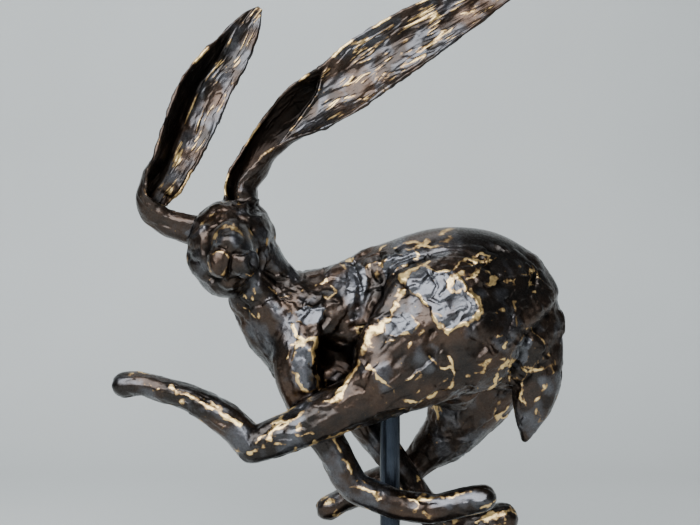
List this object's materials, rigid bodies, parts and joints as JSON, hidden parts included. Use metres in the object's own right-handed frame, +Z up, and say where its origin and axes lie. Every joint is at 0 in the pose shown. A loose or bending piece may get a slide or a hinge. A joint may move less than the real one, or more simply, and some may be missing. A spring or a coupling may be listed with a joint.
{
  "type": "hare sculpture",
  "caption": "Cast bronze hare running at full stretch with its head turned to the side and long curled ears, held up by a round rod over a low stone block.",
  "frame": {"origin": "centre of the block's underside, on the rod's axis", "axes": "+Z up along the rod, the hare runs towards -X, its face looks towards -Y"},
  "size_m": [0.2644, 0.1146, 0.4539],
  "materials": {
    "bronze": "dark brown patinated bronze with worn golden edges",
    "steel": "blued dark steel, satin",
    "stone": "honed black stone"
  },
  "bodies": {
    "root": {"hare": "bronze", "support_rod": "steel", "stone_block": "stone"}
  },
  "joints": []
}
